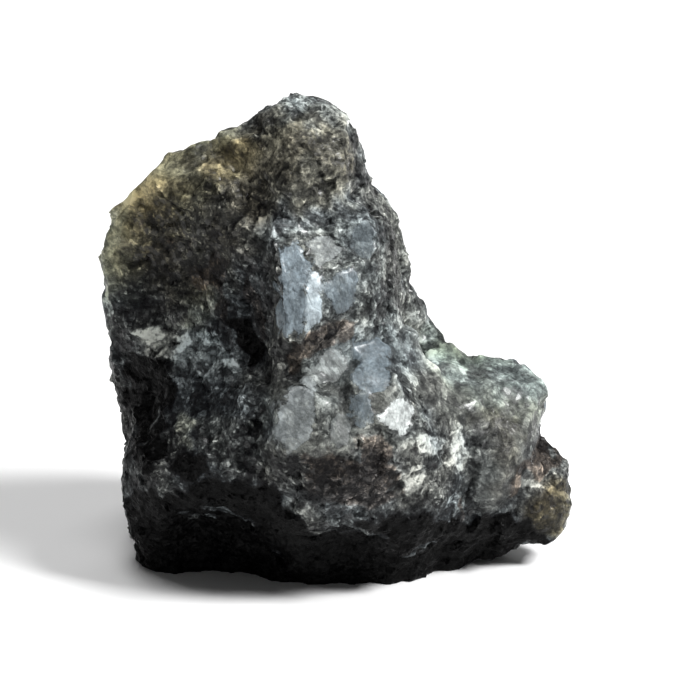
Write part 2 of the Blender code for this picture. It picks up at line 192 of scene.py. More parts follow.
# Stained or crushed ground, as seen from one side: view, border width, and the corners in mm.
grounds = {
    "rust": [                   # reddish stain in the breaks
        ("front", 1.0, [(-6.5, 21.7), (-5.1, 23.9), (-1.4, 26.0), (2.2, 27.2), (2.9, 26.0), (-0.5, 24.6),
                        (-3.4, 22.2), (-5.5, 20.2)]),
        ("front", 1.4, [(1.7, 13.3), (3.4, 14.0), (5.1, 13.3), (5.8, 11.6), (3.9, 10.6), (1.9, 11.3)]),
        ("front", 2.2, [(-3.6, 11.6), (-1.0, 12.0), (2.4, 11.3), (5.8, 11.1), (6.3, 8.2), (3.4, 6.0),
                        (-1.0, 6.5), (-3.9, 8.9)]),
        ("right", 1.6, [(-8.0, 5.5), (2.0, 6.5), (10.0, 5.0), (10.0, 2.5), (-8.0, 2.5)]),
        ("back", 1.6, [(-4.0, 24.5), (6.0, 26.0), (12.0, 19.0), (9.0, 15.5), (3.0, 21.5), (-4.0, 22.0)]),
        ("left", 1.8, [(-2.0, 30.0), (5.0, 31.0), (9.0, 25.0), (5.0, 23.5), (-2.0, 27.0)]),
    ],
    "ochre": [
        ("front", 0.8, [(-17.8, 15.9), (-16.6, 16.4), (-15.9, 14.7), (-16.1, 12.5), (-17.4, 13.0)]),
    ],
    "moss": [                   # grey-green crust
        ("front", 2.0, [(9.6, 24.1), (12.5, 24.6), (17.8, 23.4), (20.7, 22.9), (22.9, 20.7), (22.7, 16.4),
                        (19.8, 15.2), (16.4, 15.9), (13.5, 17.4), (10.6, 20.2)]),
        ("front", 2.2, [(-17.8, 29.4), (-15.9, 30.6), (-14.0, 29.9), (-13.3, 27.5), (-14.7, 25.8),
                        (-17.1, 26.3)]),
        ("back", 2.4, [(-24.0, 16.0), (-15.0, 19.0), (-12.5, 13.0), (-19.0, 8.5), (-24.0, 11.0)]),
    ],
    "glowingRim": [                    # thin, slightly clear upper edge, made paler as a painted glow of light shining through it
        ("front", 1.8, [(-27.0, 31.3), (-26.3, 37.1), (-23.4, 41.2), (-21.2, 43.9), (-17.4, 46.8),
                        (-13.3, 48.4), (-11.3, 47.2), (-13.0, 45.1), (-16.6, 43.6), (-19.5, 41.2),
                        (-22.2, 38.1), (-23.9, 34.7), (-24.6, 31.8)]),
    ],
    "chalk": [                  # whitened, crushed ground
        ("front", 1.2, [(-8.9, 48.2), (-7.0, 50.4), (-3.6, 51.8), (0.0, 50.8), (2.2, 47.2), (1.2, 45.8),
                        (-0.5, 48.7), (-3.4, 49.6), (-6.3, 48.7)]),
        ("front", 1.5, [(-6.7, 39.0), (-3.9, 41.9), (0.5, 42.4), (2.9, 39.5), (2.9, 36.9), (-0.5, 35.9),
                        (-3.9, 35.9), (-6.5, 36.4)]),
        ("front", 1.6, [(5.1, 12.5), (8.7, 14.5), (14.0, 15.2), (14.2, 9.4), (11.1, 8.0), (7.7, 7.0),
                        (4.8, 9.2)]),
        ("front", 0.8, [(6.5, 12.5), (9.2, 12.0), (12.0, 10.4), (11.1, 8.9), (8.2, 9.4), (6.3, 10.6)]),
        ("front", 1.2, [(5.8, 24.1), (8.2, 25.5), (10.6, 24.1), (11.3, 20.2), (12.5, 16.9), (9.6, 15.4),
                        (8.2, 18.3)]),
        ("front", 1.0, [(-15.4, 15.4), (-13.0, 15.9), (-9.9, 14.5), (-11.3, 12.3), (-14.5, 13.0)]),
        ("front", 0.7, [(-7.7, 9.4), (-4.8, 7.0), (-1.0, 6.3), (1.4, 8.2), (4.8, 8.9), (8.9, 9.6),
                        (12.0, 8.2), (11.8, 6.7), (8.7, 7.7), (4.8, 6.7), (1.4, 5.8), (-1.0, 4.6),
                        (-4.6, 4.6), (-7.2, 7.0)]),
        ("front", 1.2, [(0.5, 26.3), (6.3, 27.2), (7.2, 24.6), (3.1, 24.1), (0.5, 22.2), (-2.9, 20.0),
                        (-3.9, 21.2), (-0.7, 23.9)]),
        ("front", 1.2, [(-23.4, 25.3), (-20.5, 26.3), (-15.4, 25.8), (-13.0, 23.9), (-10.4, 21.0),
                        (-8.2, 17.8), (-7.7, 14.7), (-9.6, 14.9), (-12.0, 17.6), (-14.5, 19.8),
                        (-18.8, 21.7), (-22.9, 22.7)]),
        ("front", 0.8, [(-11.6, 41.9), (-9.2, 42.4), (-6.3, 40.5), (-5.8, 38.8), (-8.7, 39.8),
                        (-11.3, 40.5)]),
        ("front", 0.8, [(-10.6, 36.9), (-8.7, 37.8), (-6.7, 37.1), (-6.3, 34.9), (-8.7, 34.7),
                        (-10.6, 35.4)]),
        ("front", 0.8, [(21.0, 10.4), (22.9, 11.1), (25.1, 9.4), (24.8, 8.2), (22.7, 8.7), (21.0, 9.4)]),
        ("right", 2.0, [(5.0, 22.5), (12.0, 23.0), (12.5, 16.5), (6.0, 15.0)]),
        ("back", 2.0, [(0.0, 35.5), (8.0, 34.5), (9.5, 26.0), (1.0, 24.5)]),
        ("back", 2.4, [(-12.5, 20.0), (-7.0, 25.0), (0.5, 21.5), (2.5, 14.0), (-4.0, 9.0), (-11.0, 11.0)]),
        ("back", 1.4, [(-16.0, 7.5), (-6.0, 9.0), (8.0, 7.5), (8.0, 5.0), (-6.0, 6.0), (-16.0, 4.5)]),
        ("left", 2.0, [(-13.0, 32.0), (-6.5, 31.5), (-4.5, 24.0), (-3.0, 19.0), (-6.0, 13.0),
                       (-13.0, 22.0)]),
        ("left", 1.4, [(-13.0, 10.5), (0.0, 12.0), (10.0, 9.5), (10.0, 7.0), (0.0, 9.0), (-13.0, 7.5)]),
    ],
    "crumb": [                  # single whitened crumbs
        ("front", 0.4, [(-18.3, 24.6), (-16.6, 25.1), (-15.9, 24.1), (-17.4, 23.1)]),
        ("front", 0.5, [(-8.9, 37.4), (-7.5, 37.6), (-6.7, 35.9), (-8.2, 35.2), (-9.4, 36.1)]),
        ("front", 0.5, [(19.3, 9.4), (22.4, 8.4), (26.0, 7.0), (26.3, 6.0), (22.9, 7.5), (19.5, 8.4)]),
        ("front", 0.5, [(-22.4, 25.1), (-20.2, 26.0), (-19.3, 24.8), (-21.4, 23.9)]),
        ("front", 0.4, [(-15.7, 25.1), (-13.7, 25.3), (-13.3, 23.9), (-14.9, 23.6)]),
        ("front", 0.4, [(-12.8, 22.2), (-11.6, 22.4), (-10.8, 21.0), (-12.0, 20.5)]),
        ("front", 0.6, [(8.4, 13.7), (9.9, 14.2), (11.1, 13.0), (10.6, 11.8), (8.9, 12.0)]),
        ("front", 0.6, [(12.0, 14.2), (13.5, 14.5), (13.7, 12.0), (12.8, 10.4), (11.6, 11.1)]),
        ("front", 0.7, [(6.5, 9.4), (8.2, 10.6), (9.9, 10.1), (9.2, 8.4), (7.2, 7.7)]),
        ("front", 0.5, [(12.3, 7.0), (13.5, 7.5), (13.5, 5.8), (12.3, 4.8)]),
        ("front", 0.5, [(-24.1, 40.2), (-22.9, 41.0), (-22.2, 40.0), (-23.4, 39.0)]),
        ("right", 0.7, [(8.0, 24.0), (10.5, 24.5), (10.5, 22.0), (8.5, 22.0)]),
        ("right", 0.6, [(-2.5, 16.5), (0.0, 17.0), (-0.5, 15.2), (-2.5, 15.2)]),
        ("back", 0.7, [(0.6, 18.4), (3.2, 18.2), (3.0, 15.6), (1.4, 14.8), (0.2, 16.4)]),
        ("back", 0.6, [(-2.0, 12.8), (0.4, 13.6), (1.4, 11.4), (-0.8, 10.8)]),
        ("back", 0.6, [(-12.8, 16.6), (-11.2, 17.4), (-10.8, 14.8), (-12.4, 14.4)]),
        ("back", 0.6, [(8.8, 30.8), (10.8, 31.4), (10.4, 29.2), (9.0, 29.0)]),
        ("left", 0.7, [(-3.4, 20.6), (-1.6, 20.4), (-1.4, 17.8), (-3.2, 17.2)]),
        ("left", 0.6, [(-6.6, 25.6), (-4.8, 26.2), (-4.4, 23.8), (-6.2, 23.2)]),
    ],
    "blackAndShade": [                   # black mineral, and painted shade in deep undercuts, hollows and along the base
        ("front", 1.2, [(-12.3, 26.3), (-10.6, 27.0), (-8.7, 25.5), (-8.0, 22.9), (-8.9, 21.4),
                        (-10.8, 23.1)]),
        ("front", 1.4, [(-22.9, 14.5), (-19.8, 14.9), (-18.8, 12.0), (-21.2, 9.6), (-23.4, 11.6)]),
        ("front", 1.2, [(-17.6, 11.8), (-14.5, 12.0), (-13.5, 10.1), (-16.1, 8.7), (-18.1, 9.9)]),
        ("front", 2.0, [(-23.4, 22.2), (-20.5, 22.9), (-17.8, 20.2), (-19.3, 14.5), (-22.2, 13.0),
                        (-23.9, 17.4)]),
        ("front", 2.0, [(-27.0, 7.2), (-17.4, 7.7), (-14.9, 9.2), (-6.7, 8.9), (-5.3, 5.3), (-2.9, 3.4),
                        (4.6, 4.8), (8.9, 5.3), (14.9, 4.1), (19.3, 5.3), (23.6, 1.9), (27.7, 2.4),
                        (27.7, -5.5), (-27.0, -5.5)]),
        ("back", 1.6, [(2.0, 13.0), (8.0, 14.5), (13.0, 12.0), (9.0, 9.5), (4.0, 10.5)]),
        ("back", 1.4, [(-2.0, 38.0), (2.0, 38.5), (3.0, 35.5), (-1.0, 35.0)]),
        ("left", 2.4, [(-15.0, -3.5), (-6.0, -2.0), (2.0, -3.0), (8.0, -1.5), (13.0, -3.5), (13.0, -9.5),
                       (-16.0, -9.5)]),
    ],
    "pale": [                   # paler ground, mostly round the plates
        ("front", 1.2, [(-22.7, 25.1), (-20.2, 26.0), (-14.9, 25.5), (-12.0, 23.1), (-11.8, 21.2),
                        (-16.9, 21.9), (-21.7, 22.7)]),
        ("front", 1.6, [(-6.5, 21.2), (-3.9, 23.9), (0.0, 25.5), (6.0, 25.8), (8.7, 19.3), (9.2, 13.5),
                        (5.3, 12.8), (0.0, 12.0), (-4.8, 11.8), (-7.7, 12.5), (-8.2, 17.4)]),
        ("front", 1.6, [(-6.5, 35.9), (-0.5, 37.1), (3.9, 37.6), (5.8, 33.7), (3.9, 27.0), (1.7, 24.6),
                        (-1.7, 26.3), (-6.3, 22.7)]),
        ("front", 1.6, [(-4.1, 23.6), (-1.0, 24.8), (1.2, 24.3), (1.0, 20.2), (-1.9, 19.8), (-4.8, 19.5)]),
        ("front", 1.6, [(-0.5, 26.8), (2.9, 27.5), (6.7, 27.5), (7.2, 24.6), (3.6, 24.6), (-0.5, 24.1)]),
        ("front", 2.0, [(6.3, 29.9), (8.7, 27.5), (11.1, 25.5), (11.3, 22.2), (9.6, 20.2), (7.2, 23.1)]),
        ("front", 1.4, [(-8.9, 45.1), (-6.7, 49.2), (-3.4, 51.3), (0.0, 50.4), (1.7, 47.2), (-1.0, 46.8),
                        (-4.8, 46.8), (-7.2, 44.3)]),
        ("right", 3.0, [(-9.0, 16.0), (0.0, 18.5), (3.0, 12.0), (0.0, 6.5), (-8.0, 7.0)]),
        ("right", 3.0, [(1.0, 38.0), (8.0, 36.0), (8.0, 27.0), (2.0, 27.0)]),
        ("back", 3.0, [(-14.0, 22.0), (-6.0, 25.0), (3.0, 19.0), (1.0, 9.5), (-12.0, 9.0)]),
        ("back", 3.0, [(8.0, 31.0), (17.0, 31.5), (21.0, 22.0), (14.0, 16.0), (8.5, 18.0)]),
        ("left", 3.0, [(-14.0, 22.0), (-3.0, 24.0), (-1.0, 19.0), (-6.0, 10.0), (-14.0, 11.0)]),
    ],
    "calm": [                   # smoother ground with less mottling
        ("front", 1.6, [(-25.5, 35.7), (-22.2, 36.1), (-20.2, 34.2), (-21.0, 31.3), (-24.1, 30.6),
                        (-25.8, 33.3)]),
        ("front", 3.0, [(7.2, 27.5), (10.8, 25.1), (16.9, 24.6), (22.2, 22.2), (23.1, 14.9), (21.2, 8.2),
                        (16.9, 5.3), (14.0, 8.2), (14.9, 13.5), (10.6, 15.9), (7.2, 18.8)]),
        ("front", 2.0, [(-8.2, 19.3), (1.0, 24.6), (6.7, 25.1), (8.2, 18.8), (3.4, 14.5), (-1.4, 11.8),
                        (-7.2, 12.3)]),
        ("back", 3.0, [(-14.0, 44.0), (12.0, 44.0), (18.0, 34.0), (-12.0, 33.0)]),
        ("left", 3.0, [(-12.0, 40.0), (8.0, 40.0), (8.0, 30.0), (-12.0, 28.0)]),
    ],
    "earthy": [                 # brownish, dusty ground
        ("front", 1.2, [(-17.8, 29.9), (-15.7, 30.8), (-13.7, 29.6), (-13.3, 27.5), (-14.9, 25.5),
                        (-17.4, 26.3)]),
        ("front", 1.6, [(13.5, 16.4), (16.9, 16.9), (20.0, 14.9), (20.2, 11.6), (18.8, 9.6), (18.3, 5.5),
                        (14.0, 5.3), (13.3, 9.6)]),
        ("front", 1.2, [(-15.9, 14.9), (-13.3, 16.4), (-9.6, 15.7), (-6.7, 13.0), (-7.5, 8.9), (-11.6, 8.7),
                        (-14.9, 10.8)]),
        ("front", 1.6, [(-10.1, 47.7), (-7.2, 49.2), (-3.9, 48.4), (-3.4, 44.8), (-5.8, 41.5), (-8.9, 42.4),
                        (-10.4, 44.8)]),
    ],
    "dimAndShaded": [                    # darker ground with fine painted glints, partly dark ground and partly painted shade over the left-facing facet and low front
        ("front", 1.6, [(-26.5, 23.1), (-23.4, 23.4), (-23.1, 12.5), (-26.0, 12.0)]),
        ("front", 0.6, [(-2.7, 17.1), (-1.4, 17.6), (-0.5, 15.4), (-1.4, 14.0), (-2.7, 14.7)]),
        ("front", 1.0, [(-7.0, 6.5), (-3.6, 4.1), (-0.5, 3.9), (4.8, 5.8), (9.6, 6.5), (13.0, 5.5),
                        (13.0, 2.4), (4.8, 0.5), (-1.0, -0.0), (-7.5, 2.4)]),
        ("front", 1.2, [(-6.7, 11.3), (-3.6, 11.8), (0.0, 11.1), (6.3, 10.1), (5.8, 7.2), (1.0, 7.0),
                        (-2.9, 6.5), (-6.7, 8.7)]),
        ("front", 1.4, [(9.6, 9.6), (12.0, 8.7), (13.3, 7.2), (13.5, 4.3), (9.6, 5.3)]),
        ("front", 1.2, [(2.7, 32.5), (4.3, 33.0), (5.1, 27.0), (3.9, 25.5), (2.4, 26.3)]),
        ("front", 1.0, [(8.7, 8.2), (11.6, 7.7), (11.6, 4.8), (8.7, 5.1)]),
        ("front", 0.8, [(8.7, 11.8), (10.4, 12.0), (10.6, 10.6), (9.2, 10.4)]),
        ("front", 2.0, [(-13.3, 40.2), (-6.7, 41.9), (-6.7, 37.1), (-12.0, 35.4), (-16.9, 33.0),
                        (-19.8, 35.4)]),
        ("front", 3.0, [(-25.3, 19.8), (-7.7, 20.2), (-8.0, 8.2), (-25.3, 7.7)]),
        ("front", 3.0, [(-21.2, 37.8), (-13.3, 41.5), (-7.7, 37.8), (-7.0, 21.7), (-13.3, 24.6),
                        (-24.1, 24.6), (-24.1, 30.6)]),
        ("front", 1.6, [(-27.5, 29.9), (-24.1, 28.9), (-23.1, 24.1), (-24.1, 21.7), (-27.5, 21.7)]),
        ("back", 4.0, [(4.0, 16.0), (20.0, 17.0), (22.0, 4.0), (4.0, 3.0)]),
    ],
}

# Stained or weathered parts that go round the stone: middle and half-widths in mm. The front is towards -Y.
stains = {
    # olive stain, partly a painted glow of light through the thin upper edge
    "oliveAndGlow": [
        ((-25, 3, 37), (5, 7, 7)),
        ((-22, 1, 42), (6, 6, 5)),
        ((-18, 0, 45), (6, 5, 4.5)),
        ((-13.5, 0, 47.5), (5, 5, 3.2)),
        ((-16, 10, 44), (8, 6, 5)),
        ((-24, 12, 30), (3, 8, 8)),
    ],
    "brown": [
        ((-4, -5, 48), (8, 6, 5)),
        ((-9.5, -2, 45.5), (6, 6, 5)),
        ((-19, -3, 38), (8, 7, 8)),
        ((3, 14, 24), (6, 6, 5)),
    ],
    "green": [((14, 5, 24), (6, 5, 3)), ((10, 12, 12), (6, 5, 7))],
    "amber": [((23.6, -3.4, 7.0), (3.6, 4, 3.4)), ((17, 9, 8), (3, 3, 4))],
}

borders = {
    "wander": 1.7,              # length in which a border wanders
    "groundDrift": 1.2,         # how far it wanders, in mm, and for stains as a share of their size
    "plateDrift": 1.1,
    "stainDrift": 0.30,
    "stainEdge": 0.35,          # softness of a stain's border, as a share of its size
    "plateEdge": 1.6,           # width of a plate's border
    "turnEdge": 0.25,           # softness where the surface turns away from the view
}


def driftOf(point):
    return Vector([noise.noise(point + Vector((apart, 0, -apart))) for apart in (0.0, 31.7, 73.1)])


def seenFrom(view, points):
    # across and up as seen from that side, and the direction back to the eye
    turn, tip = (math.radians(angle) for angle in views[view][:2])
    right = np.array((math.cos(turn), math.sin(turn), 0))
    into = np.array((-math.sin(turn), math.cos(turn), 0))
    up = into * math.sin(tip) + np.array((0, 0, math.cos(tip)))
    back = np.array((0, 0, math.sin(tip))) - into * math.cos(tip)
    return points @ right, points @ up, back


def depthInside(across, up, corners):
    # distance from the outline, positive inside it
    nearest = np.full(len(across), np.inf)
    inside = np.zeros(len(across), bool)
    for (x0, y0), (x1, y1) in zip(corners, corners[1:] + corners[:1]):
        dx, dy = x1 - x0, y1 - y0
        along = np.clip(((across - x0) * dx + (up - y0) * dy) / (dx * dx + dy * dy), 0, 1)
        nearest = np.minimum(nearest, np.hypot(across - x0 - along * dx, up - y0 - along * dy))
        if dy:
            inside ^= ((y0 > up) != (y1 > up)) & (across < x0 + dx * (up - y0) / dy)
    return np.where(inside, nearest, -nearest)


def outlineMask(points, normals, wander, view, border, corners):
    across, up, back = seenFrom(view, points)
    depth = depthInside(across, up, corners) + wander * min(border, 1.0)
    square = views[view][2]
    facing = ease(square, square + borders["turnEdge"], normals @ back)
    return ease(-border / 2, border / 2, depth) * facing


def neighbourMean(ends, values):
    a, b = ends
    total = np.zeros_like(values)
    count = np.bincount(a, minlength=len(values)) + np.bincount(b, minlength=len(values))
    np.add.at(total, a, values[b])
    np.add.at(total, b, values[a])
    return total / (count[:, None] if values.ndim > 1 else count)


def spread(ends, values, rounds):
    for _ in range(rounds):
        values = neighbourMean(ends, values)
    return values


def stainMasks(points, wander):
    masks = {}
    edge = borders["stainEdge"]
    for name, spots in stains.items():
        masks[name] = np.zeros(len(points))
        for middle, reach in spots:
            away = np.linalg.norm((points - middle) / reach + wander * borders["stainDrift"], axis=1)
            masks[name] = np.maximum(masks[name], 1 - ease(1 - edge, 1 + edge, away))
    return masks


def groundMasks(points, slope, wander):
    drift = wander[:, 0] * borders["groundDrift"]
    masks = {}
    for name, outlines in grounds.items():
        masks[name] = np.max([outlineMask(points, slope, drift, *outline) for outline in outlines], axis=0)
    return masks


def plateMasks(points, slope, wander, ends):
    # one mask for all plates, their looks, and a mask for each plate alone
    drift = wander[:, 1] * borders["plateDrift"]
    masks = {name: np.zeros(len(points)) for name in ("plate", *plateLook)}
    single = []
    for view, *look, corners in plates:
        mask = outlineMask(points, slope, drift, view, borders["plateEdge"], corners)
        single.append(mask)
        for name, value in zip(plateLook, look):
            masks[name] = np.where(mask > masks["plate"], value, masks[name])
        masks["plate"] = np.maximum(masks["plate"], mask)
    known = (masks["plate"] > 0.02).astype(float)
    reached = np.maximum(spread(ends, known, 2), 1e-6)
    for name in plateLook:                      # carried a little past the border, so that it stays even
        far = spread(ends, masks[name] * known, 2) / reached
        masks[name] = np.where(known > 0, masks[name], far)
    return masks, single


def cellAt(point, size, bend):
    # the point in cell sizes, with the cells' borders bent a little, and the seed of the cell it is in
    warped = (point + driftOf(point / size * 1.3) * (bend * size)) / size
    return warped, Vector(noise.voronoi(warped)[1][0])


def randomOf(seed):
    # three numbers from -1 to 1 for each cell
    return noise.cell_vector(seed * 9.7 + Vector((40.5, 40.5, 40.5))) * 2 - Vector((1, 1, 1))


def cellMeans(cell, values):
    total = np.stack([np.bincount(cell, values[:, axis]) for axis in range(3)], axis=1)
    return total / np.bincount(cell)[:, None]


def breakFlat(points, slope, hold, width, flatness, lean, drop):
    # the skin of each cell is drawn towards a plane of its own
    seeds = np.array([cellAt(Vector(point), width, stoneShape["breakBend"])[1] for point in points])
    kinds, cell = np.unique(seeds.round(3), axis=0, return_inverse=True)
    cell = cell.ravel()
    own = np.array([randomOf(Vector(kind)) for kind in kinds])
    middle = cellMeans(cell, points)
    facing = cellMeans(cell, slope) + own * lean
    facing /= np.linalg.norm(facing, axis=1)[:, None]
    cleaved = own[cell, 0] > 1 - 2 * stoneShape["cleavedShare"]
    flatness = np.where(cleaved, stoneShape["cleavedFlat"], flatness)
    away = np.einsum("ij,ij->i", middle[cell] - points, facing[cell]) * flatness + own[cell, 2] * drop
    limit = stoneShape["breakLimit"]
    moved = np.clip(away, -limit, limit) * (1 - hold)
    return points + facing[cell] * moved[:, None], own[cell, 1]


def flattenPlates(points, slope, single):
    for mask in single:
        here = mask > 0.01
        middle = (points * mask[:, None]).sum(0) / mask.sum()
        facing = (slope * mask[:, None]).sum(0)
        facing /= np.linalg.norm(facing)
        away = (middle - points[here]) @ facing * stoneShape["plateFlat"] + stoneShape["plateRise"]
        away *= ease(*stoneShape["plateDepth"], np.abs(away))
        points[here] += facing * (away * mask[here])[:, None]
    return points


def grainOf(points, size, lean, drop):
    heights = np.empty(len(points))
    for i, point in enumerate(points):
        warped, seed = cellAt(Vector(point), size, stoneShape["grainBend"])
        own = randomOf(seed)
        heights[i] = ((warped - seed) * size).dot(own) * lean + own.z * drop
    return heights


def pushOutline(points):
    across, up = seenFrom("front", points)[:2]
    for middle, reach, push in pushes:
        share = np.exp(-((across - middle[0]) / reach[0]) ** 2 - ((up - middle[1]) / reach[1]) ** 2)
        points = points + share[:, None] * (push[0], 0, push[1])
    return points


def copyNode():
    node = frame["nodes"]["labradorite_chunk"]
    makeActive(node)
    bpy.ops.object.duplicate()
    stone = bpy.context.active_object
    for key in list(stone.keys()):
        del stone[key]
    stone.parent = None
    stone.name = "labradoriteStone"
    bpy.ops.object.mode_set(mode="EDIT")
    bpy.ops.mesh.select_all(action="SELECT")
    bpy.ops.mesh.remove_doubles(threshold=0.001 * mm)
    bpy.ops.object.mode_set(mode="OBJECT")
    return stone


def unwrapStone(stone, roundedPoints):
    # unwrapped from a rounded shape, so that it falls into a few large pieces
    writePoints(stone.data, roundedPoints)
    stone.data.uv_layers.new(name="OFBake")
    makeActive(stone)
    bpy.ops.object.mode_set(mode="EDIT")
    bpy.ops.mesh.select_all(action="SELECT")
    angle = math.radians(stoneShape["unwrapAngle"])
    bpy.ops.uv.smart_project(angle_limit=angle, island_margin=0.004, rotate_method="AXIS_ALIGNED")
    bpy.ops.object.mode_set(mode="OBJECT")


def storeMask(mesh, name, values):
    layer = mesh.attributes.new(name, "FLOAT", "POINT")
    layer.data.foreach_set("value", values.astype(np.float32))


def makeStone():
    stone = copyNode()
    applyModifier(stone, "REMESH", mode="VOXEL", voxel_size=stoneShape["grid"] * mm)
    applyModifier(stone, "SMOOTH", factor=0.5, iterations=stoneShape["wear"])
    mesh = stone.data
    ends = np.empty(len(mesh.edges) * 2, np.int32)
    mesh.edges.foreach_get("vertices", ends)
    ends = ends[::2], ends[1::2]
    points = pushOutline(readPoints(mesh) / mm)
    writePoints(mesh, points * mm)
    normals = readPoints(mesh, "normal")
    unwrapStone(stone, spread(ends, points, stoneShape["unwrapRounding"]) * mm)
    print("worn skin:", len(mesh.polygons), "faces")

    slope = spread(ends, normals, stoneShape["broadRounds"])
    slope /= np.linalg.norm(slope, axis=1)[:, None]
    wander = np.array([driftOf(Vector(point) / borders["wander"]) for point in points])
    masks = {**groundMasks(points, slope, wander), **stainMasks(points, wander)}
    plateParts, singlePlates = plateMasks(points, slope, wander, ends)
    masks.update(plateParts)
    print("grounds, stains and plates laid out")

    hold = np.maximum(masks["plate"], 1 - ease(*stoneShape["restEdge"], points[:, 2]))
    hold = np.maximum(hold, masks["calm"] * stoneShape["calmHold"])
    for name, settings in stoneShape["breaks"].items():
        points, masks[name] = breakFlat(points, slope, hold, *settings)
    points = flattenPlates(points, slope, singlePlates)
    smooth = np.max([masks[name] for name in stoneShape["smoothGrounds"]], axis=0)
    rough = (1 - hold) * (1 - smooth * stoneShape["smoothShare"])
    points += normals * (grainOf(points, *stoneShape["grain"]) * rough)[:, None]
    points[:, 2] = np.maximum(points[:, 2], 0)
    writePoints(mesh, points * mm)

    normals = readPoints(mesh, "normal")
    for name, rounds in stoneShape["ridges"].items():
        masks[name] = np.einsum("ij,ij->i", points - spread(ends, points, rounds), normals)
    for name, mask in masks.items():
        storeMask(mesh, name, mask)
    print("stone broken, flattened and grained")
    return stone


def connect(tree, value, socket):
    if isinstance(value, bpy.types.NodeSocket):
        tree.links.new(value, socket)
    else:
        socket.default_value = value


def addNode(tree, kind, settings=None, **inputs):
    made = tree.nodes.new(kind)
    for name, value in (settings or {}).items():
        setattr(made, name, value)
    for name, value in inputs.items():
        connect(tree, value, made.inputs[name])
    return made


def calc(tree, operation, *values):
    made = tree.nodes.new("ShaderNodeMath")
    made.operation = operation
    for value, socket in zip(values, made.inputs):
        connect(tree, value, socket)
    return made.outputs[0]


def calcVector(tree, operation, *values):
    made = tree.nodes.new("ShaderNodeVectorMath")
    made.operation = operation
    for value, socket in zip(values, made.inputs):
        connect(tree, value, socket)
    return made.outputs["Value" if operation == "DOT_PRODUCT" else "Vector"]


def spreadOf(tree, value, amount, total):
    # the total, made higher or lower by a value that runs from 0 to 1
    return calc(tree, "MULTIPLY_ADD", calc(tree, "SUBTRACT", value, 0.5), amount, total)


def blend(tree, factor, first, second, mode="MIX"):
    made = tree.nodes.new("ShaderNodeMix")
    made.data_type = "RGBA"
    made.blend_type = mode
    connect(tree, factor, made.inputs["Factor"])
    connect(tree, first, made.inputs[6])
    connect(tree, second, made.inputs[7])
    return made.outputs[2]


def ramp(tree, factor, stops):
    made = tree.nodes.new("ShaderNodeValToRGB")
    points = made.color_ramp.elements
    while len(points) < len(stops):
        points.new(0.5)
    for point, (place, colour) in zip(points, stops):
        point.position = place
        point.color = (*colour, 1)
    connect(tree, factor, made.inputs[0])
    return made.outputs[0]


def step(tree, low, high, value):
    made = tree.nodes.new("ShaderNodeMapRange")
    made.interpolation_type = "SMOOTHSTEP"
    connect(tree, value, made.inputs["Value"])
    connect(tree, low, made.inputs["From Min"])
    connect(tree, high, made.inputs["From Max"])
    return made.outputs["Result"]


def noiseOf(tree, vector, scale, detail, roughness):
    settings = {"Vector": vector, "Scale": scale, "Detail": detail, "Roughness": roughness}
    return addNode(tree, "ShaderNodeTexNoise", **settings).outputs["Fac"]


def newGroup(name, inputs, outputs):
    group = bpy.data.node_groups.new(name, "ShaderNodeTree")
    for label, kind, value in inputs:
        socket = group.interface.new_socket(label, in_out="INPUT", socket_type="NodeSocket" + kind)
        if value is not None:
            socket.default_value = value
    for label, kind in outputs:
        group.interface.new_socket(label, in_out="OUTPUT", socket_type="NodeSocket" + kind)
    start = group.nodes.new("NodeGroupInput")
    end = group.nodes.new("NodeGroupOutput")
    return group, start.outputs, end.inputs


def useGroup(tree, group, **inputs):
    made = tree.nodes.new("ShaderNodeGroup")
    made.node_tree = group
    for name, value in inputs.items():
        connect(tree, value, made.inputs[name])
    return made.outputs


def crystalGroup():
    # grains broken flat, each at its own slant: their height, and two random numbers for each grain
    group, given, result = newGroup(
        "crystals",
        [("Place", "Vector", None), ("Size", "Float", 1.0), ("Lean", "Float", 0.5), ("Step", "Float", 0.1)],
        [("Height", "Float"), ("Grain", "Float"), ("Other", "Float")],
    )
    scale = calc(group, "DIVIDE", 1.0, given["Size"])
    cells = addNode(group, "ShaderNodeTexVoronoi", Vector=given["Place"], Scale=scale)
    own = calcVector(group, "SUBTRACT", cells.outputs["Color"], (0.5, 0.5, 0.5))
    inside = calcVector(group, "SUBTRACT", given["Place"], cells.outputs["Position"])
    slant = calc(group, "MULTIPLY", calcVector(group, "DOT_PRODUCT", inside, own), given["Lean"])
    parts = addNode(group, "ShaderNodeSeparateColor", Color=cells.outputs["Color"])
    height = spreadOf(group, parts.outputs["Red"], given["Step"], slant)
    group.links.new(height, result["Height"])
    group.links.new(parts.outputs["Green"], result["Grain"])
    group.links.new(parts.outputs["Blue"], result["Other"])
    return group


